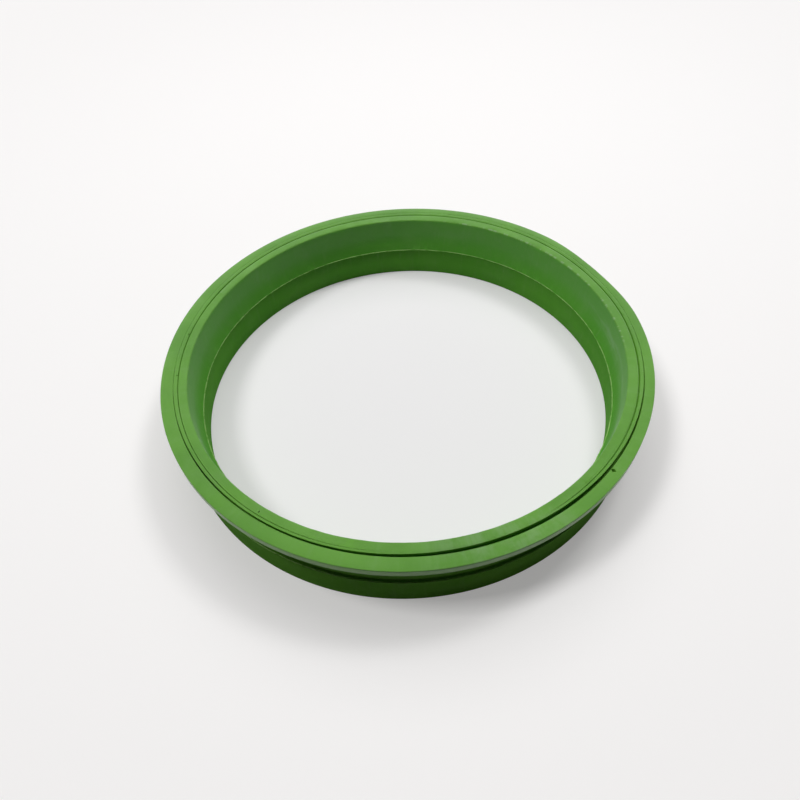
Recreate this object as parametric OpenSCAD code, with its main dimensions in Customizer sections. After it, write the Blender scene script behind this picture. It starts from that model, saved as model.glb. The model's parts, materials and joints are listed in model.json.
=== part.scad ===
// Fuel pump gasket: a moulded rubber ring that seals a pump module in a tank's neck.
// The ring stands on its sleeve's foot, with its flange up. The origin is on the ring's axis,
// in the plane of the foot. Lengths are in millimetres.

/* [Sleeve] */
// Bore of the sleeve below the parting line
bore_d = 123.2; // [90:0.2:180]
// Thickness of the sleeve's wall below the parting line
wall_t = 6.2; // [4.8:0.1:9]
// Height of the whole ring, from the foot to the sealing face
total_h = 21.5; // [17.5:0.1:32]
// Height of the mould's parting line above the foot
parting_h = 10; // [7:0.1:12]
// How far the outer wall above the parting line stands back from the wall below it
neck_inset = 0.6; // [0:0.05:0.8]

/* [Mouth] */
// How far the mouth is wider than the bore, on each side
mouth_flare = 1.6; // [1.2:0.05:2.2]
// How far the knee of the inner wall is wider than the bore, on each side
knee_flare = 1.15; // [0.4:0.05:1.5]
// Height of the sloping stretch of inner wall, from the parting line to the knee
knee_h = 3.7; // [1.5:0.1:5]

/* [Flange] */
// How far the flange reaches out past the sleeve's lower wall
flange_reach = 2.7; // [1.5:0.1:6]
// Thickness of the flange at its edge
flange_t = 2.5; // [1.5:0.1:4]
// Width of the flat ring of sealing face between the flange's edge and the outer groove
land_w = 3; // [2.4:0.1:4.2]

/* [Sealing bead and its relief grooves] */
// Width of the bead between the two grooves
bead_w = 0.9; // [0.5:0.05:1.2]
// How far the bead's crown lies under the sealing face
bead_drop = 0.05; // [0:0.05:0.4]
// Width of the deep outer groove
outer_groove_w = 0.45; // [0.2:0.05:0.8]
// Depth of the outer groove
outer_groove_depth = 1.4; // [0.8:0.1:2.4]
// Angle by which the outer groove leans towards the axis as it goes down
outer_groove_lean = 10; // [0:1:20]
// Width of the fine inner groove at its mouth
inner_groove_w = 0.2; // [0.1:0.05:0.4]
// Depth of the inner groove
inner_groove_depth = 0.8; // [0.5:0.05:1]

/* [Mould flash] */
// How far the flash at the parting line stands into the bore
inner_flash = 0.35; // [0.1:0.05:0.6]
// How far the flash at the parting line stands out of the sleeve
outer_flash = 0.2; // [0.1:0.05:0.6]
// Thickness of the flash where it leaves the wall
flash_t = 0.3; // [0.15:0.05:0.6]

/* [Roundings] */
// Radius at the mouth's inner edge
mouth_round = 0.5; // [0.1:0.05:0.8]
// Radius at the flange's upper and lower outer edges
flange_round = 0.25; // [0.1:0.05:0.6]
// Radius of the fillet between the flange's underside and the neck
neck_fillet = 0.8; // [0.2:0.1:1.4]
// Radius at the foot's inner and outer edges
foot_round = 0.3; // [0.1:0.05:0.8]
// Radius at the grooves' sharp mouths
groove_round = 0.08; // [0.02:0.02:0.2]

/* [Hidden] */

rubber_green = "#6a9c4a";

// Segments of each rounding, and facets of the ring in a preview
arc_steps = 6;
ring_facets = 240;

// No rounding takes more than this share of a side that it meets
side_share = 0.45;

bore_r = bore_d/2;
sleeve_r = bore_r + wall_t;
neck_r = sleeve_r - neck_inset;
flange_r = sleeve_r + flange_reach;
flange_underside = total_h - flange_t;

knee = [bore_r + knee_flare, parting_h + flash_t/2 + knee_h];
mouth = [bore_r + mouth_flare, total_h];

outer_groove_r = flange_r - land_w;
bead_outer_r = outer_groove_r - outer_groove_w;
bead_inner_r = bead_outer_r - bead_w;
lip_outer_r = bead_inner_r - inner_groove_w;
bead_top = total_h - bead_drop;

outer_groove_floor = total_h - outer_groove_depth;
inner_groove_floor = total_h - inner_groove_depth;
groove_shift = outer_groove_depth*tan(outer_groove_lean);

// The inner groove narrows to half its width at its floor
floor_step = inner_groove_w/4;

// The flash thins from its root to a sharp tip in the parting plane
flash_root = flash_t/2;

// The section's corners, each with its radius, anticlockwise from the foot's inner edge
section = [
    // foot and lower outer wall
    [[bore_r, 0], foot_round],
    [[sleeve_r, 0], foot_round],
    // flash at the parting line, outside
    [[sleeve_r, parting_h - flash_root], 0],
    [[sleeve_r + outer_flash, parting_h], 0],
    [[neck_r, parting_h + flash_root], 0],
    // neck and flange
    [[neck_r, flange_underside], neck_fillet],
    [[flange_r, flange_underside], flange_round],
    [[flange_r, total_h], flange_round],
    [[outer_groove_r, total_h], groove_round],
    // outer groove, leaning inwards as it goes down
    [[outer_groove_r - groove_shift, outer_groove_floor], outer_groove_w/3],
    [[bead_outer_r - groove_shift, outer_groove_floor], outer_groove_w/3],
    // sealing bead
    [[bead_outer_r, bead_top], bead_w/2],
    [[bead_inner_r, bead_top], bead_w/2],
    // inner groove
    [[bead_inner_r - floor_step, inner_groove_floor], 0],
    [[lip_outer_r + floor_step, inner_groove_floor], 0],
    [[lip_outer_r, total_h], groove_round],
    // lip, mouth and upper inner wall
    [mouth, mouth_round],
    [knee, knee_h/2],
    // flash at the parting line, inside
    [[bore_r, parting_h + flash_root], 0],
    [[bore_r - inner_flash, parting_h], 0],
    [[bore_r, parting_h - flash_root], 0]
];

function unit(v) = v/norm(v);

// The arc that rounds corner b between its neighbours a and c
function corner_arc(a, b, c, radius) =
    let (
        to_a = unit(a - b),
        to_c = unit(c - b),
        half = acos(to_a*to_c)/2,
        shorter = min(norm(a - b), norm(c - b)),
        r = min(radius, side_share*shorter*tan(half)),
        centre = b + unit(to_a + to_c)*r/sin(half),
        first = b + to_a*r/tan(half) - centre,
        last = b + to_c*r/tan(half) - centre,
        turn = atan2(first[0]*last[1] - first[1]*last[0], first*last)
    )
    [
        for (i = [0 : arc_steps])
            let (angle = atan2(first[1], first[0]) + turn*i/arc_steps)
                centre + r*[cos(angle), sin(angle)]
    ];

// The outline through all corners, with an arc at each one that has a radius
function rounded(corners) =
    let (count = len(corners))
    [
        for (i = [0 : count - 1])
            let (
                a = corners[(i + count - 1) % count][0],
                b = corners[i][0],
                c = corners[(i + 1) % count][0],
                radius = corners[i][1]
            )
                each (radius > 0 ? corner_arc(a, b, c, radius) : [b])
    ];

module gasket() {
    color(rubber_green)
        rotate_extrude($fn = ring_facets)
            polygon(rounded(section));
}

gasket();
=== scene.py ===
import json
import math
from contextlib import contextmanager
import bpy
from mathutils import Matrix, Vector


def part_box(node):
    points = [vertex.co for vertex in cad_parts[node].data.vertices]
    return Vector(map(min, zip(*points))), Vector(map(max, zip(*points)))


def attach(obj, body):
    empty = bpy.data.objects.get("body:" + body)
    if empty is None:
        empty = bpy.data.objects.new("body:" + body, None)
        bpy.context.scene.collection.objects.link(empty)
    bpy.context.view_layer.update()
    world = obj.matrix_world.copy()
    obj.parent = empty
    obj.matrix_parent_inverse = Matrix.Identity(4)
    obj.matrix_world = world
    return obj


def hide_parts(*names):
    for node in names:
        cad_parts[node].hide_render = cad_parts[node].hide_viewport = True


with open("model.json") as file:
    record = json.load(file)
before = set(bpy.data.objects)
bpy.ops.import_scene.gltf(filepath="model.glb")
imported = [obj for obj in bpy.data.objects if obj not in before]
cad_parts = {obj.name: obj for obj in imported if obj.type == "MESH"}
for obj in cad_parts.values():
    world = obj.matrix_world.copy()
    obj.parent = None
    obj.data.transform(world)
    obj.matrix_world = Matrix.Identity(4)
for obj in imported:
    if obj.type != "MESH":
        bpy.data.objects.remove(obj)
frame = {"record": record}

from types import SimpleNamespace

import bmesh
import bpy
from bpy.props import FloatProperty, FloatVectorProperty, IntProperty, PointerProperty
from mathutils import Matrix, Vector

bl_info = {
    "name": "Fuel Pump Gasket",
    "version": (1, 0, 0),
    "blender": (4, 5, 0),
    "location": "View3D > Sidebar > Gasket",
    "description": "Dresses the moulded rubber gasket and sets its studio table",
    "category": "Object",
}

MM = 0.001
MOUNTS = {mount["name"]: mount for mount in frame["record"]["mounts"]}
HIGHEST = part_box("gasket")[1]
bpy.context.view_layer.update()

# Points closer than this are the same point
TOUCHING = 1e-7


# Editing helpers

def clear_selection():
    """Leave edit mode and deselect every object."""
    if bpy.context.object and bpy.context.object.mode != "OBJECT":
        bpy.ops.object.mode_set(mode="OBJECT")
    bpy.ops.object.select_all(action="DESELECT")


def make_active(piece):
    """Select one object alone and make it the active one."""
    clear_selection()
    piece.select_set(True)
    bpy.context.view_layer.objects.active = piece


@contextmanager
def editing(piece, kind="VERT"):
    """Open a piece in edit mode with nothing selected."""
    make_active(piece)
    bpy.ops.object.mode_set(mode="EDIT")
    bpy.ops.mesh.select_mode(type=kind)
    bpy.ops.mesh.select_all(action="DESELECT")
    yield
    bpy.ops.object.mode_set(mode="OBJECT")


def pick_points(piece, wanted):
    """Select the points of a piece in edit mode whose place passes a test."""
    mesh = bmesh.from_edit_mesh(piece.data)
    for point in mesh.verts:
        point.select = bool(not point.hide and wanted(point.co))
    mesh.select_flush(True)
    mesh.select_flush(False)
    bmesh.update_edit_mesh(piece.data)


def pick_edges(piece, wanted):
    """Select the edges of a piece in edit mode that pass a test, and tell how many there are."""
    mesh = bmesh.from_edit_mesh(piece.data)
    for edge in mesh.edges:
        edge.select = bool(wanted(edge))
    mesh.select_flush_mode()
    bmesh.update_edit_mesh(piece.data)
    return sum(edge.select for edge in mesh.edges)


def apply_modifier(piece, kind, name, **settings):
    """Add one modifier to a piece, set it up and apply it."""
    make_active(piece)
    modifier = piece.modifiers.new(name, kind)
    for key, value in settings.items():
        setattr(modifier, key, value)
    bpy.ops.object.modifier_apply(modifier=modifier.name)


def new_clouds(name, size):
    """Make the cloud texture that a Displace modifier reads."""
    clouds = bpy.data.textures.new(name, "CLOUDS")
    clouds.noise_scale = size
    clouds.noise_depth = 2
    return clouds


# Shader helpers

class Wire:
    """A shader socket that adds Math nodes when it is used in an expression."""

    def __init__(self, board, socket):
        self.board = board
        self.socket = socket

    def math(self, operation, *others, first=None):
        """Add one Math node, with this socket first unless another value is given for it."""
        inputs = [self if first is None else first, *others]
        values = {str(index): value for index, value in enumerate(inputs)}
        return self.board.node("ShaderNodeMath", {"operation": operation}, values)

    def __add__(self, other):
        return self.math("ADD", other)

    __radd__ = __add__

    def __sub__(self, other):
        return self.math("SUBTRACT", other)

    def __rsub__(self, other):
        return self.math("SUBTRACT", self, first=other)

    def __mul__(self, other):
        return self.math("MULTIPLY", other)

    __rmul__ = __mul__

    def __truediv__(self, other):
        return self.math("DIVIDE", other)

    def __rtruediv__(self, other):
        return self.math("DIVIDE", self, first=other)

    def __pow__(self, other):
        return self.math("POWER", other)

    def __rpow__(self, other):
        return self.math("POWER", self, first=other)

    def above(self, edge, softness):
        """0 under an edge value and 1 over it, with a soft step between."""
        return self.board.ramp(self, edge - softness / 2, edge + softness / 2)

    def below(self, edge, softness):
        """1 under an edge value and 0 over it, with a soft step between."""
        return 1 - self.above(edge, softness)

    def near(self, centre, half_width, softness):
        """1 within a half width of a centre value, with soft ends."""
        distance = (self - centre).math("ABSOLUTE")
        return distance.below(half_width, softness)


class Board:
    """The node tree of one material, with one method that adds any node."""

    def __init__(self, tree):
        self.tree = tree
        self.tree.nodes.clear()

    def node(self, kind, settings=None, values=None, output=0):
        """Add a node, give it its settings, and then fill or link its sockets."""
        made = self.tree.nodes.new(kind)
        for key, value in (settings or {}).items():
            setattr(made, key, value)
        for key, value in (values or {}).items():
            socket = made.inputs[int(key)] if key.isdigit() else made.inputs[key]
            if isinstance(value, Wire):
                self.tree.links.new(value.socket, socket)
            else:
                socket.default_value = value
        if output is None:
            return made
        return Wire(self, made.outputs[output])

    def ramp(self, value, low, high):
        """Map a value from low..high to 0..1 with a smooth step."""
        settings = {"interpolation_type": "SMOOTHSTEP", "clamp": True}
        values = {"Value": value, "From Min": low, "From Max": high}
        return self.node("ShaderNodeMapRange", settings, values)

    def noise(self, place, scale, detail=2.0, roughness=0.5):
        """Soft noise around 0.5 at a scale in blobs per metre."""
        values = {"Vector": place, "Scale": scale, "Detail": detail, "Roughness": roughness}
        return self.node("ShaderNodeTexNoise", None, values)

    def mix_colour(self, factor, first, second):
        """Blend two colours by a factor."""
        settings = {"data_type": "RGBA", "blend_type": "MIX", "clamp_factor": True}
        values = {"0": factor, "6": first, "7": second}
        return self.node("ShaderNodeMix", settings, values, output=2)

    def vector(self, x, y, z):
        """Join three numbers to a vector."""
        return self.node("ShaderNodeCombineXYZ", None, {"0": x, "1": y, "2": z})

    def parts(self, place):
        """Split a place in its three numbers."""
        split = self.node("ShaderNodeSeparateXYZ", None, {"0": place}, output=None)
        return [Wire(self, socket) for socket in split.outputs]


def opaque(colour):
    """A colour with full alpha, as colour sockets want it."""
    return (*colour, 1.0)


# Settings

class GasketFormSettings(bpy.types.PropertyGroup):
    """Sizes of the moulded ring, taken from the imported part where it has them."""

    bore_radius: FloatProperty(
        name="Bore radius", description="Inside radius of the sleeve under the parting line",
        default=MOUNTS["bore"]["dims"]["r_mm"] * MM, unit="LENGTH", precision=5)
    sleeve_radius: FloatProperty(
        name="Sleeve radius", description="Outside radius of the sleeve under the parting line",
        default=MOUNTS["sleeve_outside"]["dims"]["r_mm"] * MM, unit="LENGTH", precision=5)
    flange_radius: FloatProperty(
        name="Flange radius", description="Outside radius of the flange",
        default=HIGHEST.x, unit="LENGTH", precision=5)
    top: FloatProperty(
        name="Top", description="Height of the sealing face over the foot",
        default=HIGHEST.z, unit="LENGTH", precision=5)
    seat: FloatProperty(
        name="Seat", description="Height of the flange's underside over the foot",
        default=MOUNTS["flange_seat"]["pos_m"][2], unit="LENGTH", precision=5)
    parting: FloatProperty(
        name="Parting line", description="Height of the mould's parting line over the foot",
        default=10 * MM, unit="LENGTH", precision=5)
    neck_inset: FloatProperty(
        name="Neck inset", description="How far the wall over the parting line stands back",
        default=0.6 * MM, unit="LENGTH", precision=5)
    mouth_flare: FloatProperty(
        name="Mouth flare", description="How far the mouth is wider than the bore",
        default=1.6 * MM, unit="LENGTH", precision=5)
    knee_flare: FloatProperty(
        name="Knee flare", description="How far the knee of the inner wall is wider than the bore",
        default=1.15 * MM, unit="LENGTH", precision=5)
    knee_rise: FloatProperty(
        name="Knee rise", description="Height of the knee over the parting line",
        default=3.85 * MM, unit="LENGTH", precision=5)
    land_width: FloatProperty(
        name="Land width", description="Flat ring between the flange's edge and the outer groove",
        default=3.07 * MM, unit="LENGTH", precision=5)
    bead_width: FloatProperty(
        name="Bead width", description="Width of the sealing bead at its root",
        default=1.25 * MM, unit="LENGTH", precision=5)
    inner_groove: FloatProperty(
        name="Inner groove", description="Width of the fine groove inside the bead",
        default=0.4 * MM, unit="LENGTH", precision=5)
    bead_lean: FloatProperty(
        name="Bead lean", description="How far the bead leans towards the axis where it leans most",
        default=0.95 * MM, unit="LENGTH", precision=5)
    lean_bearing: FloatProperty(
        name="Lean bearing", description="Bearing at which the bead leans most",
        default=math.radians(292), subtype="ANGLE")
    lean_reach: FloatProperty(
        name="Lean reach", description="How far from there the lean fades out",
        default=104 * MM, unit="LENGTH", precision=5)
    groove_offset: FloatProperty(
        name="Groove offset", description="How far the grooves' circles lie off the ring's axis",
        default=0.52 * MM, unit="LENGTH", precision=5)
    offset_bearing: FloatProperty(
        name="Offset bearing", description="Bearing of the grooves' offset",
        default=math.radians(60), subtype="ANGLE")
    dent_depth: FloatProperty(
        name="Dent depth", description="How far the flange's edge is pressed in where it has been bent",
        default=0.85 * MM, unit="LENGTH", precision=5)
    dent_bearing: FloatProperty(
        name="Dent bearing", description="Bearing of the bent stretch of flange",
        default=math.radians(27), subtype="ANGLE")
    flash_reach: FloatProperty(
        name="Flash reach", description="How far the flash stands out of the walls",
        default=0.3 * MM, unit="LENGTH", precision=5)
    flash_raggedness: FloatProperty(
        name="Flash raggedness", description="How unevenly the flash was trimmed",
        default=0.12 * MM, unit="LENGTH", precision=5)
    out_of_round: FloatProperty(
        name="Out of round", description="Share by which the loose ring is longer one way",
        default=0.01, subtype="FACTOR")
    long_way: FloatProperty(
        name="Long way", description="Bearing of the ring's longer diameter",
        default=math.radians(41.7), subtype="ANGLE")
    turns: IntProperty(
        name="Facets round", description="Facets round the ring", default=720, min=60)


class GasketRubberSettings(bpy.types.PropertyGroup):
    """Colours and finish of the rubber, with painted light and shade among the colours."""

    green: FloatVectorProperty(
        name="Rubber green", description="Colour of the clean rubber",
        default=(0.106, 0.308, 0.027), subtype="COLOR", min=0, max=1)
    deep_green: FloatVectorProperty(
        name="Deep green", description="Colour of the darker clouds in the rubber",
        default=(0.076, 0.245, 0.018), subtype="COLOR", min=0, max=1)
    # Painted light: a lighter, greener colour that stands for light thrown between the inner walls
    wall_green: FloatVectorProperty(
        name="Wall green", description="Greener colour of the inner walls",
        default=(0.097, 0.37, 0.044), subtype="COLOR", min=0, max=1)
    # Painted shade: a dark colour that stands for the inner flash's shade on the lower wall
    under_flash: FloatVectorProperty(
        name="Under the flash", description="Dark colour of the lower inner wall just under the flash",
        default=(0.045, 0.16, 0.014), subtype="COLOR", min=0, max=1)
    bloom: FloatVectorProperty(
        name="Bloom", description="Colour of the pale film on the rubber",
        default=(0.20, 0.36, 0.13), subtype="COLOR", min=0, max=1)
    scuffed: FloatVectorProperty(
        name="Scuffed", description="Colour of scuffs and of the mouth's ragged edge",
        default=(0.27, 0.40, 0.22), subtype="COLOR", min=0, max=1)
    # Partly pale trimmed rubber and partly a painted highlight that makes the flash line show in shade
    stretched: FloatVectorProperty(
        name="Stretched", description="Colour of the flash, where the thin rubber has gone pale",
        default=(0.30, 0.52, 0.16), subtype="COLOR", min=0, max=1)
    roughness: FloatProperty(
        name="Roughness", description="Roughness of the satin walls",
        default=0.7, subtype="FACTOR", min=0, max=1)
    shine: FloatProperty(
        name="Shine", description="Strength of the sheen on the smoother top and rim",
        default=1.0, subtype="FACTOR", min=0, max=1)


class GasketStageSettings(bpy.types.PropertyGroup):
    """Table, lamps and camera."""

    table_colour: FloatVectorProperty(
        name="Table colour", description="Colour of the table as the camera sees it",
        default=(0.965, 0.95, 0.945), subtype="COLOR", min=0, max=1)
    # Painted shade: the greyer table inside the ring stands for the ring's shade on it
    table_inside: FloatVectorProperty(
        name="Table inside", description="Colour of the table inside the ring as the camera sees it",
        default=(0.85, 0.84, 0.845), subtype="COLOR", min=0, max=1)
    table_bounce: FloatProperty(
        name="Table bounce", description="How much light the table inside the ring throws back",
        default=0.64, subtype="FACTOR", min=0, max=1)
    outer_bounce: FloatProperty(
        name="Outer bounce", description="How much light the table round the ring throws back",
        default=0.25, subtype="FACTOR", min=0, max=1)
    table_glow: FloatProperty(
        name="Table glow",
        description="Share of the table's white near the object that no shadow darkens",
        default=0.32, subtype="FACTOR", min=0, max=1)
    table_radius: FloatProperty(
        name="Table radius", description="Radius of the round table top",
        default=4.0, unit="LENGTH")
    sky_strength: FloatProperty(
        name="Room light", description="Strength of the even light from all round", default=0.03)
    ceiling_dimming: FloatProperty(
        name="Ceiling dimming", description="How much darker than white the room is overhead in gloss",
        default=0.65, subtype="FACTOR", min=0, max=1)
    key_power: FloatProperty(
        name="Key power", description="Power of the broad lamp over the table",
        default=1.75, unit="POWER")
    left_power: FloatProperty(
        name="Left power", description="Power of the smaller lamp on the left",
        default=12.3, unit="POWER")
    rear_power: FloatProperty(
        name="Rear power", description="Power of the smaller lamp behind on the right",
        default=1.7, unit="POWER")
    camera_distance: FloatProperty(
        name="Camera distance", description="Distance from the camera to its aim",
        default=205.83 * MM, unit="LENGTH", precision=5)
    camera_elevation: FloatProperty(
        name="Camera elevation", description="Angle of the camera over the table",
        default=math.radians(49.94), subtype="ANGLE")
    camera_roll: FloatProperty(
        name="Camera roll", description="Turn of the camera about its own view",
        default=math.radians(-1.92), subtype="ANGLE")
    aim: FloatVectorProperty(
        name="Aim", description="Point on the table that the camera looks at",
        default=(-2.56 * MM, -2.14 * MM, 0), subtype="TRANSLATION", precision=5)
    lens: FloatProperty(
        name="Lens", description="Focal length on a 36 mm wide sensor",
        default=29.25, unit="CAMERA")


# The ring

# Depth of the outer groove, and the depth at which its leaning walls bend
OUTER_GROOVE_DEPTH = 2.2 * MM
OUTER_GROOVE_BEND = 0.9 * MM

# Depth of the fine inner groove
INNER_GROOVE_DEPTH = 0.95 * MM


def bead_edge(form):
    """Radius of the bead's outer edge, which all but touches the flange."""
    return form.flange_radius - form.land_width - 0.02 * MM


def lip_edge(form):
    """Radius of the inner lip's outer edge."""
    return bead_edge(form) - form.bead_width - form.inner_groove


def bead_flank(form):
    """The bead's outer side, from the outer groove's floor up."""
    edge = bead_edge(form)
    return [
        (edge - 0.6 * MM, form.top - OUTER_GROOVE_DEPTH, 0),
        (edge - 0.22 * MM, form.top - OUTER_GROOVE_BEND, 0),
    ]


def bead_crown(form):
    """The bead's crown, just under the sealing face."""
    edge = bead_edge(form)
    return [
        (edge, form.top - 0.02 * MM, 0.05 * MM),
        (edge - 0.45 * form.bead_width, form.top - 0.04 * MM, 0.4 * MM),
    ]


def bead_shoulder(form):
    """The rounded shoulder between the bead's crown and the inner groove."""
    return [(bead_edge(form) - 0.93 * form.bead_width, form.top - 0.12 * MM, 0.12 * MM)]


def groove_floor(form):
    """The floor of the fine inner groove, at the foot of the lip."""
    floor = form.top - INNER_GROOVE_DEPTH
    return [
        (lip_edge(form) + 0.2 * MM, floor, 0),
        (lip_edge(form) + 0.03 * MM, floor, 0),
    ]


def ring_section(form):
    """The section's corners as (radius, height, rounding), from the foot's inner edge outwards."""
    half_flash = 0.15 * MM
    outer_flash = form.flash_reach * 0.9
    neck = form.sleeve_radius - form.neck_inset
    land_edge = form.flange_radius - form.land_width
    land_wall_bend = land_edge - 0.18 * MM
    land_wall_foot = land_edge - 0.52 * MM
    rim_step = 0.2 * MM
    foot_round = 0.3 * MM
    neck_fillet = 0.8 * MM
    flange_round = 0.25 * MM
    rim_round = 0.08 * MM
    land_round = 0.04 * MM
    lip_round = 0.12 * MM
    mouth_round = 0.4 * MM
    knee_round = 14 * MM
    return [
        (form.bore_radius, 0, foot_round),
        (form.sleeve_radius, 0, foot_round),
        # Outer flash, neck and flange
        (form.sleeve_radius, form.parting - half_flash, 0),
        (form.sleeve_radius + outer_flash, form.parting, 0),
        (neck, form.parting + half_flash, 0),
        (neck, form.seat, neck_fillet),
        (form.flange_radius, form.seat, flange_round),
        # Shallow step in the flange's edge
        (form.flange_radius, form.top - 2.1 * rim_step, 0),
        (form.flange_radius - rim_step, form.top - 1.7 * rim_step, 0),
        (form.flange_radius, form.top - 0.8 * rim_step, 0),
        # Land, outer groove, bead and inner groove
        (form.flange_radius, form.top, rim_round),
        (land_edge, form.top, land_round),
        (land_wall_bend, form.top - OUTER_GROOVE_BEND, 0),
        (land_wall_foot, form.top - OUTER_GROOVE_DEPTH, 0),
        *bead_flank(form),
        *bead_crown(form),
        *bead_shoulder(form),
        *groove_floor(form),
        # Lip, mouth and inner wall
        (lip_edge(form), form.top, lip_round),
        (form.bore_radius + form.mouth_flare, form.top, mouth_round),
        (form.bore_radius + form.knee_flare, form.parting + form.knee_rise, knee_round),
        # Inner flash
        (form.bore_radius, form.parting + half_flash, 0),
        (form.bore_radius - form.flash_reach, form.parting, 0),
        (form.bore_radius, form.parting - half_flash, 0),
    ]


def corner_point(corner):
    """The place of a corner of the section, in the plane over the X axis."""
    radius, height, _ = corner
    return Vector((radius, 0, height))


def draw_section(corners):
    """Draw the section as a chain of extruded points in the plane over the X axis, and close it."""
    clear_selection()
    start = corner_point(corners[0])
    bpy.ops.mesh.primitive_plane_add(size=MM, location=(0, 0, 0))
    ring = bpy.context.object
    ring.name = "moulded_ring"
    with editing(ring):
        bpy.ops.mesh.select_all(action="SELECT")
        bpy.ops.mesh.merge(type="CENTER")
        bpy.ops.transform.translate(value=start)
        for (radius, height, _), (next_radius, next_height, _) in zip(corners, corners[1:]):
            step = (next_radius - radius, 0, next_height - height)
            bpy.ops.mesh.extrude_vertices_move(TRANSFORM_OT_translate={"value": step})
        ends = [start, corner_point(corners[-1])]
        pick_points(ring, lambda place: min((place - end).length for end in ends) < TOUCHING)
        bpy.ops.mesh.edge_face_add()
    return ring


def round_corners(ring, corners):
    """Round each corner of the drawn section that has a radius."""
    side_share = 0.48
    count = len(corners)
    with editing(ring):
        for index, corner in enumerate(corners):
            rounding = corner[2]
            if not rounding:
                continue
            spot = corner_point(corner)
            before = corner_point(corners[index - 1]) - spot
            after = corner_point(corners[(index + 1) % count]) - spot
            setback = rounding / math.tan(before.angle(after) / 2)
            setback = min(setback, side_share * min(before.length, after.length))
            segments = 3 if rounding < 0.2 * MM else 5
            pick_points(ring, lambda place: (place - spot).length < TOUCHING)
            bpy.ops.mesh.bevel(
                offset=setback, offset_type="OFFSET", segments=segments, affect="VERTICES")


def split_long_edges(ring, longest):
    """Halve the section's edges until none is longer than a given length."""
    with editing(ring, "EDGE"):
        while pick_edges(ring, lambda edge: edge.calc_length() > longest):
            bpy.ops.mesh.subdivide(number_cuts=1)


def mark_points(ring, name, wanted):
    """Put the points of a piece that pass a test in a named group."""
    group = ring.vertex_groups.new(name=name)
    group.add([point.index for point in ring.data.vertices if wanted(point.co)], 1.0, "REPLACE")


def mark_section(ring, form):
    """Name the section's stretches that are bent, trimmed or worn once it is a ring."""
    land_edge = form.flange_radius - form.land_width
    lip_out = lip_edge(form)
    bead_out = bead_edge(form)
    crown_start = bead_out - 0.7 * form.bead_width
    slack = 0.1 * MM

    def on_corner(corners):
        """A test that is met on the drawn corners themselves."""
        spots = [corner_point(corner) for corner in corners]
        return lambda p: min((p - spot).length for spot in spots) < slack / 10

    mark_points(ring, "grooves", lambda p: (
        lip_out - slack < p.x < land_edge + slack and p.z > form.seat))
    mark_points(ring, "bead crown", lambda p: (
        crown_start < p.x < land_edge - slack / 10 and p.z > form.top - 3 * slack))
    mark_points(ring, "bead flank", on_corner(bead_flank(form)))
    mark_points(ring, "bead shoulder", lambda p: (
        lip_out + slack < p.x <= crown_start
        and form.top - 7 * slack < p.z < form.top - slack / 4))
    mark_points(ring, "groove floor", on_corner(groove_floor(form)))
    mark_points(ring, "flange edge", lambda p: p.x > form.flange_radius - 3 * slack)
    mark_points(ring, "mouth edge", lambda p: (
        p.x < form.bore_radius + form.mouth_flare + 3 * slack and p.z > form.top - 3 * slack))
    mark_points(ring, "inner flash", lambda p: p.x < form.bore_radius - slack / 5)
    mark_points(ring, "outer flash", lambda p: (
        p.x > form.sleeve_radius + slack / 5 and abs(p.z - form.parting) < slack))


def spin_section(ring, turns):
    """Spin the section round the ring's axis to a closed body."""
    with editing(ring):
        bpy.ops.mesh.select_all(action="SELECT")
        bpy.ops.mesh.spin(steps=turns, angle=2 * math.pi, center=(0, 0, 0), axis=(0, 0, 1))
        bpy.ops.mesh.select_all(action="SELECT")
        bpy.ops.mesh.remove_doubles(threshold=1e-6)
        bpy.ops.mesh.normals_make_consistent(inside=False)


def pick_group(ring, name):
    """Select the points of one group in edit mode."""
    ring.vertex_groups.active = ring.vertex_groups[name]
    bpy.ops.mesh.select_all(action="DESELECT")
    bpy.ops.object.vertex_group_select()


def polar(radius, bearing, height=0.0):
    """The point at a radius, a bearing and a height."""
    return Vector((radius * math.cos(bearing), radius * math.sin(bearing), height))


def push_stretch(ring, group, spot, push, reach):
    """Push one stretch of a group's points, with the push fading out over a distance."""
    grip = 1.5 * MM
    with editing(ring):
        pick_group(ring, group)
        bpy.ops.mesh.hide(unselected=True)
        pick_points(ring, lambda place: (place.xy - spot.xy).length < grip)
        bpy.ops.transform.translate(
            value=push, use_proportional_edit=True,
            proportional_edit_falloff="SMOOTH", proportional_size=reach)
        bpy.ops.mesh.reveal(select=False)


def land_spot(form, bearing):
    """The point at the land's inner edge at a bearing."""
    return polar(form.flange_radius - form.land_width, bearing)


def lean_bead(ring, form):
    """Lean the front of the bead on the lip, which opens the outer groove and shuts the inner one."""
    spot = land_spot(form, form.lean_bearing)
    inwards = polar(-form.bead_lean, form.lean_bearing)
    upwards = Vector((0, 0, MM))
    # The shoulder follows the crown less far and rises a little, and the groove's floor comes up
    shoulder_push = inwards * 0.42 + upwards * 0.04
    push_stretch(ring, "bead crown", spot, inwards, form.lean_reach)
    push_stretch(ring, "bead flank", spot, inwards * 0.8, form.lean_reach)
    push_stretch(ring, "bead shoulder", spot, shoulder_push, form.lean_reach * 0.7)
    push_stretch(ring, "groove floor", spot, upwards * 0.8, form.lean_reach * 0.9)


def open_left_groove(ring, form):
    """Push the bead inwards at the front left too, so that the open outer groove runs on there."""
    left = math.radians(224)
    reach = 54 * MM
    push_stretch(ring, "bead crown", land_spot(form, left), polar(-0.3 * MM, left), reach)
    push_stretch(ring, "bead flank", land_spot(form, left), polar(-0.24 * MM, left), reach)


def offset_grooves(ring, form):
    """Move both grooves and the bead between them off the ring's axis, most at the right."""
    with editing(ring):
        pick_group(ring, "grooves")
        bpy.ops.transform.translate(value=polar(form.groove_offset, form.offset_bearing))
    right = math.radians(333)
    reach = 52 * MM
    push_stretch(ring, "grooves", land_spot(form, right), polar(0.25 * MM, right), reach)


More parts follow.
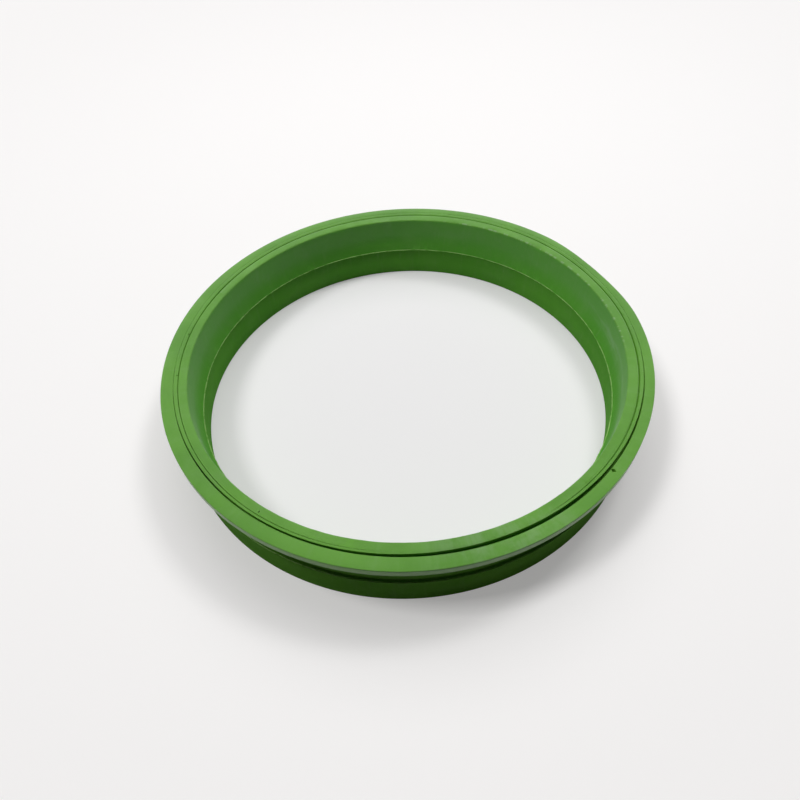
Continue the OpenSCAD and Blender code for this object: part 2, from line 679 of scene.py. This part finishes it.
def dent_flange(ring, form):
    """Press in the stretch of the flange's edge that has been bent."""
    spot = polar(form.flange_radius, form.dent_bearing)
    inwards = polar(-form.dent_depth, form.dent_bearing)
    reach = 22 * MM
    push_stretch(ring, "flange edge", spot, inwards, reach)
    push_stretch(ring, "grooves", spot * 0.95, inwards * 0.35, reach)


def roughen(ring, name, size, amount):
    """Make the edge that a group holds uneven, with waves of one size."""
    apply_modifier(
        ring, "DISPLACE", "Uneven " + name, texture=new_clouds(name, size),
        vertex_group=name, strength=amount, mid_level=0.5, texture_coords="LOCAL")


def trim_edges(ring, form):
    """Make the trimmed flash ragged, and the edges of the mouth and the bead a little uneven."""
    ragged = form.flash_raggedness
    roughen(ring, "inner flash", 1.6 * MM, ragged * 2)
    roughen(ring, "outer flash", 1.9 * MM, ragged * 2)
    roughen(ring, "mouth edge", 3.4 * MM, ragged * 1.2)
    roughen(ring, "bead crown", 5.5 * MM, ragged * 0.8)
    for seed, name in enumerate(("inner flash", "outer flash")):
        with editing(ring):
            pick_group(ring, name)
            bpy.ops.transform.vertex_random(offset=ragged / 3, seed=seed)


def add_wedge(bearing, radius, height, size):
    """Add one wedge that points down, with its size as (length, width, depth) in millimetres."""
    clear_selection()
    length, width, depth = size
    turn = math.radians(bearing)
    bpy.ops.mesh.primitive_cone_add(
        vertices=4, radius1=0.5, radius2=0, depth=2, rotation=(math.pi, 0, turn),
        location=polar(radius, turn, height), scale=(length * MM, width * MM, depth * MM))
    return bpy.context.object


def cut_nicks(ring, form):
    """Cut the small nicks that handling has left in the edges."""
    flash_top = form.parting + 0.3 * MM
    outer_flash = form.sleeve_radius + 0.3 * MM
    inner_flash = form.bore_radius - 0.4 * MM
    # Bearing in degrees, radius, height and size of each nick
    nicks = (
        (317.6, 68.15 * MM, form.top, (3.2, 2.2, 2.2)),
        (235.5, 64.9 * MM, form.top, (1.5, 0.6, 0.5)),
        (186.5, 66.2 * MM, form.top, (1.5, 0.8, 0.8)),
        (172.0, 66.3 * MM, form.top, (0.9, 1.8, 0.8)),
        (271.2, outer_flash, flash_top, (1.2, 1.6, 0.6)),
        (297.0, outer_flash, flash_top, (1.0, 1.3, 0.5)),
        (356.0, inner_flash, flash_top, (1.2, 2.0, 0.6)),
    )
    wedges = [add_wedge(*nick) for nick in nicks]
    make_active(wedges[0])
    for wedge in wedges:
        wedge.select_set(True)
    bpy.ops.object.join()
    cutter = bpy.context.object
    apply_modifier(ring, "BOOLEAN", "Nicks", operation="DIFFERENCE", solver="FAST", object=cutter)
    make_active(cutter)
    bpy.ops.object.delete()


def warp_ring(ring, form):
    """Let the loose ring lie a little out of round, longer along one bearing."""
    make_active(ring)
    for turn, stretch in ((-form.long_way, form.out_of_round), (form.long_way, 0)):
        ring.rotation_euler.z = turn
        bpy.ops.object.transform_apply(location=False, rotation=True, scale=False)
        ring.scale = (1 + stretch, 1 - stretch, 1)
        bpy.ops.object.transform_apply(location=False, rotation=False, scale=True)


# The rubber

RUBBER_IOR = 1.46


def rubber_fields(board, form):
    """The place of a point on the ring as if it were round, with the masks and noises in shared use."""
    place = board.node("ShaderNodeTexCoord", output="Object")
    x, y, height = board.parts(place)
    longer = (x * math.cos(form.long_way) + y * math.sin(form.long_way)) / (1 + form.out_of_round)
    shorter = (y * math.cos(form.long_way) - x * math.sin(form.long_way)) / (1 - form.out_of_round)
    radius = (longer * longer + shorter * shorter) ** 0.5
    round_x = x / radius * form.sleeve_radius
    round_y = y / radius * form.sleeve_radius
    along_ring = board.vector(round_x, round_y, (radius + height) * 0.12)
    down_walls = board.vector(round_x, round_y, height * 6)
    on_top = height.above(form.top - 0.3 * MM, 0.2 * MM)
    on_rim = radius.above(form.flange_radius - 1.5 * MM, 0.5 * MM)
    return SimpleNamespace(
        place=place,
        bearing=y.math("ARCTAN2", x),
        radius=radius,
        height=height,
        on_top=on_top,
        smoother=on_top.math("MAXIMUM", on_rim),
        low=height.below(form.parting + form.knee_rise, 6 * MM),
        film=board.noise(place, scale=150, detail=4.0, roughness=0.6),
        fine_lines=board.noise(along_ring, scale=620, detail=3.0, roughness=0.6),
        wall_streaks=board.noise(down_walls, scale=75, detail=3.0, roughness=0.6),
    )


def near_bearing(spot, centre, half_width, softness):
    """1 near a bearing that is given in degrees, with soft ends."""
    return spot.bearing.near(math.radians(centre), math.radians(half_width), math.radians(softness))


def pale_marks(form, spot):
    """The scuffs at the front right, and the ragged fringe of the mouth at the back right."""
    front_right = near_bearing(spot, -72, 14, 10)
    scuff = front_right * spot.on_top * spot.film.above(0.5, 0.22) * spot.fine_lines.above(0.42, 0.3)
    mouth = form.bore_radius + form.mouth_flare
    thin_edge = spot.radius.near(mouth + 0.3 * MM, 0.3 * MM, 0.3 * MM)
    back_right = near_bearing(spot, 37, 38, 12)
    fringe = spot.on_top * thin_edge * back_right * spot.fine_lines.above(0.55, 0.12)
    return (scuff * 0.2).math("MAXIMUM", fringe * 0.45)


def flash_marks(board, form, spot):
    """The flash at the parting line, pale in stretches: partly pale trimmed rubber, partly a painted
    highlight.
    """
    past_walls = spot.radius.above(form.sleeve_radius + 0.01 * MM, 0.06 * MM)
    past_walls = past_walls + spot.radius.below(form.bore_radius - 0.06 * MM, 0.06 * MM)
    flash = spot.height.near(form.parting, 0.25 * MM, 0.15 * MM) * past_walls
    return flash * board.noise(spot.place, scale=420).above(0.42, 0.34)


def rubber_colour(board, look, form, spot, pale):
    """Cloudy greens, painted light on the inner walls, painted shade under the flash, and pale marks
    over all.
    """
    clouds = board.noise(spot.place, scale=55, detail=3.0, roughness=0.55)
    specks = board.noise(spot.place, scale=1400, roughness=0.6)
    inner_wall = spot.radius.below(form.bore_radius + 2.4 * MM, 1.2 * MM) * (1 - spot.on_top)
    below_flash = inner_wall * spot.height.below(form.parting, 0.5 * MM)
    # Painted shade: the lower inner wall is darkened just under the flash, most at the back
    back = near_bearing(spot, 108, 24, 36)
    painted_shade_band = below_flash * spot.height.above(form.parting - 3 * MM, 5.6 * MM)
    # Share and colour of each layer over the clean green, from the lowest up
    layers = (
        (clouds.above(0.5, 0.35) * 0.7, look.deep_green),
        # Painted light: the inner walls are lighter and greener for light thrown between them, less so
        # under the flash
        (inner_wall * 0.6 - below_flash * 0.2, look.wall_green),
        (painted_shade_band * (back * 0.45 + 0.2), look.under_flash),
        (spot.film.above(0.6, 0.3) * 0.14, look.bloom),
        (spot.fine_lines.above(0.62, 0.2) * 0.10, look.bloom),
        (specks.above(0.66, 0.1) * 0.10, look.bloom),
        (pale, look.scuffed),
        # The pale flash is partly the rubber's own colour and partly a painted highlight along the line
        (flash_marks(board, form, spot) * 0.9, look.stretched),
    )
    colour = opaque(look.green)
    for share, layer in layers:
        colour = board.mix_colour(share, colour, opaque(layer))
    return colour


def rubber_roughness(look, spot):
    """Satin that is smoother on the top and the rim and rougher low down, with soft streaks."""
    roughness = look.roughness - spot.smoother * 0.2 + spot.low * 0.2
    return roughness + (spot.film - 0.5) * 0.15 + (spot.wall_streaks - 0.5) * 0.3


def rubber_shine(spot):
    """Sheen on the top and the rim, less on the upper walls, and a streaked patch at the right."""
    right = near_bearing(spot, 4, 14, 26)
    upper_wall = spot.height.near(15.5 * MM, 1.8 * MM, 2.4 * MM)
    streaked = right * spot.wall_streaks.above(0.5, 0.2) * upper_wall
    return spot.smoother.math("MAXIMUM", streaked * 0.6 + (1 - spot.low) * 0.4)


def rubber_bump(board, spot, pale):
    """The grain and peel of the moulded skin, with its fine lines and the relief of the marks."""
    grain = board.noise(spot.place, scale=5200, roughness=0.6)
    peel = board.noise(spot.place, scale=420)
    relief = grain * 0.3 + peel * 0.5 + spot.fine_lines * 0.2 + pale * 0.3
    values = {"Strength": 0.4, "Distance": 0.05 * MM, "Height": relief}
    return board.node("ShaderNodeBump", None, values)


def rubber_material(look, form):
    """Satin green rubber with a soft sheen."""
    material = bpy.data.materials.new("satin green rubber")
    material.use_nodes = True
    board = Board(material.node_tree)
    spot = rubber_fields(board, form)
    pale = pale_marks(form, spot)
    surface = board.node("ShaderNodeBsdfPrincipled", None, {
        "Base Color": rubber_colour(board, look, form, spot, pale),
        "Roughness": rubber_roughness(look, spot),
        "Normal": rubber_bump(board, spot, pale),
        "IOR": RUBBER_IOR,
        "Specular IOR Level": 0.15,
        "Coat Weight": rubber_shine(spot) * look.shine,
        "Coat Roughness": 0.4,
        "Coat IOR": RUBBER_IOR,
    })
    board.node("ShaderNodeOutputMaterial", None, {"Surface": surface}, output=None)
    return material


# The ring's operator

class GASKET_OT_ring(bpy.types.Operator):
    """Draw the section of the gasket, spin it to a ring and give it its moulded details"""

    bl_idname = "gasket.ring"
    bl_label = "Moulded Ring"
    bl_options = {"REGISTER", "UNDO"}

    def execute(self, context):
        form = context.scene.gasket_form
        longest_edge = 2.2 * MM
        sharpest_bend = math.radians(42)
        corners = ring_section(form)
        ring = draw_section(corners)
        round_corners(ring, corners)
        split_long_edges(ring, longest_edge)
        mark_section(ring, form)
        spin_section(ring, form.turns)

        shaping = (
            lean_bead, open_left_groove, offset_grooves, dent_flange, trim_edges, cut_nicks, warp_ring)
        for shape in shaping:
            shape(ring, form)

        make_active(ring)
        bpy.ops.object.shade_smooth_by_angle(angle=sharpest_bend)
        ring.data.materials.append(rubber_material(context.scene.gasket_rubber, form))
        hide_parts("gasket")
        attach(ring, "root")
        clear_selection()
        return {"FINISHED"}


# The stage

# Name, power setting, size in metres, bearing and elevation in degrees, and distance in metres
LAMPS = (
    ("broad key", "key_power", 0.54, 95, 66, 0.6),
    ("left lamp", "left_power", 0.4, 185, 62, 1.8),
    ("rear lamp", "rear_power", 0.18, 40, 62, 0.8),
)

# Width of the camera's sensor in millimetres
SENSOR_WIDTH = 36


def seen_rays(board):
    """Masks of the rays from the camera, and of those together with gloss before any matt surface."""
    path = board.node("ShaderNodeLightPath", output=None)
    camera_ray = Wire(board, path.outputs["Is Camera Ray"])
    gloss = Wire(board, path.outputs["Is Glossy Ray"])
    gloss = gloss.math("MAXIMUM", Wire(board, path.outputs["Is Transmission Ray"]))
    first = Wire(board, path.outputs["Diffuse Depth"]).math("LESS_THAN", 0.5)
    return camera_ray, camera_ray.math("MAXIMUM", gloss * first)


def table_material(stage):
    """A table that looks near white, with painted shade inside the ring, and throws back less light,
    the least of it outside the ring.
    """
    material = bpy.data.materials.new("pale table")
    material.use_nodes = True
    board = Board(material.node_tree)
    camera_ray, seen = seen_rays(board)
    x, y, _ = board.parts(board.node("ShaderNodeTexCoord", output="Object"))
    distance = (x * x + y * y) ** 0.5

    # The step between the two colours lies under the sleeve, where nothing sees it
    under_sleeve = 64.7 * MM
    in_ring = distance.below(under_sleeve, 5 * MM)
    bounce = board.mix_colour(
        in_ring, opaque((stage.outer_bounce,) * 3), opaque((stage.table_bounce,) * 3))
    # Inside the ring the camera sees painted shade, a greyer table colour
    white = board.mix_colour(in_ring, opaque(stage.table_colour), opaque(stage.table_inside))
    colour = board.mix_colour(seen, bounce, white)

    # Far from the ring the table glows fully, so that it fades to plain white
    far = distance.above(0.35, 0.5)
    share = far * (1 - stage.table_glow) + stage.table_glow
    matt = board.node("ShaderNodeBsdfDiffuse", None, {"Color": colour})
    glow = board.node("ShaderNodeEmission", None, {"Color": white})
    surfaces = {"0": camera_ray * share, "1": matt, "2": glow}
    surface = board.node("ShaderNodeMixShader", None, surfaces)
    board.node("ShaderNodeOutputMaterial", None, {"Surface": surface}, output=None)
    return material


def add_lamp(name, power, size, bearing, elevation, distance):
    """Add a square area lamp that faces the object from a bearing and an elevation in degrees."""
    clear_selection()
    turn = math.radians(bearing)
    rise = math.radians(elevation)
    towards = Vector((
        math.cos(rise) * math.cos(turn),
        math.cos(rise) * math.sin(turn),
        math.sin(rise)))
    bpy.ops.object.light_add(type="AREA", location=towards * distance)
    lamp = bpy.context.object
    lamp.name = name
    lamp.data.energy = power
    lamp.data.size = size
    lamp.rotation_euler = towards.to_track_quat("Z", "Y").to_euler()
    # In gloss the room shows, and no lamp
    lamp.visible_glossy = False


def set_world(stage):
    """A faint even room light, and a white room to the camera and in gloss, darker overhead."""
    world = bpy.data.worlds.new("plain room")
    world.use_nodes = True
    board = Board(world.node_tree)
    _, seen = seen_rays(board)
    upwards = board.parts(board.node("ShaderNodeTexCoord", output="Generated"))[2]
    white = 1 - upwards.above(0.75, 0.4) * stage.ceiling_dimming
    strength = seen * (white - stage.sky_strength) + stage.sky_strength
    values = {"Color": opaque((1, 1, 1)), "Strength": strength}
    background = board.node("ShaderNodeBackground", None, values)
    board.node("ShaderNodeOutputWorld", None, {"Surface": background}, output=None)
    bpy.context.scene.world = world


def set_camera(stage):
    """Place the camera at the photograph's viewing angle."""
    away = Vector((0, -math.cos(stage.camera_elevation), math.sin(stage.camera_elevation)))
    spot = Vector(stage.aim) + away * stage.camera_distance
    tilt = Matrix.Rotation(math.pi / 2 - stage.camera_elevation, 4, "X")
    roll = Matrix.Rotation(stage.camera_roll, 4, "Z")
    clear_selection()
    bpy.ops.object.camera_add()
    camera = bpy.context.object
    camera.name = "studio camera"
    camera.matrix_world = Matrix.Translation(spot) @ tilt @ roll
    camera.data.sensor_width = SENSOR_WIDTH
    camera.data.lens = stage.lens
    camera.data.clip_start = MM
    bpy.context.scene.camera = camera


class GASKET_OT_stage(bpy.types.Operator):
    """Add the pale table, the soft lamps, the room light and the camera"""

    bl_idname = "gasket.stage"
    bl_label = "Studio Table"
    bl_options = {"REGISTER", "UNDO"}

    def execute(self, context):
        stage = context.scene.gasket_stage
        clear_selection()
        bpy.ops.mesh.primitive_circle_add(
            vertices=96, radius=stage.table_radius, fill_type="NGON", location=(0, 0, 0))
        table = context.object
        table.name = "table"
        table.data.materials.append(table_material(stage))

        for name, power, *placing in LAMPS:
            add_lamp(name, getattr(stage, power), *placing)
        set_world(stage)
        set_camera(stage)
        context.scene.view_settings.view_transform = "Standard"
        return {"FINISHED"}


# The panel and the registration

class GASKET_PT_panel(bpy.types.Panel):
    """Panel with the gasket's pieces and settings"""

    bl_label = "Gasket"
    bl_idname = "GASKET_PT_panel"
    bl_space_type = "VIEW_3D"
    bl_region_type = "UI"
    bl_category = "Gasket"

    def draw(self, context):
        layout = self.layout
        groups = (
            ("gasket_form", GasketFormSettings, GASKET_OT_ring),
            ("gasket_rubber", GasketRubberSettings, None),
            ("gasket_stage", GasketStageSettings, GASKET_OT_stage),
        )
        for name, group, operator in groups:
            box = layout.box()
            for setting in group.__annotations__:
                box.prop(getattr(context.scene, name), setting)
            if operator:
                box.operator(operator.bl_idname)


CLASSES = (
    GasketFormSettings,
    GasketRubberSettings,
    GasketStageSettings,
    GASKET_OT_ring,
    GASKET_OT_stage,
    GASKET_PT_panel,
)


def register():
    for cls in CLASSES:
        bpy.utils.register_class(cls)
    bpy.types.Scene.gasket_form = PointerProperty(type=GasketFormSettings)
    bpy.types.Scene.gasket_rubber = PointerProperty(type=GasketRubberSettings)
    bpy.types.Scene.gasket_stage = PointerProperty(type=GasketStageSettings)


def unregister():
    del bpy.types.Scene.gasket_stage
    del bpy.types.Scene.gasket_rubber
    del bpy.types.Scene.gasket_form
    for cls in reversed(CLASSES):
        bpy.utils.unregister_class(cls)


def main():
    register()
    bpy.ops.gasket.ring()
    bpy.ops.gasket.stage()


if __name__ == "__main__":
    main()
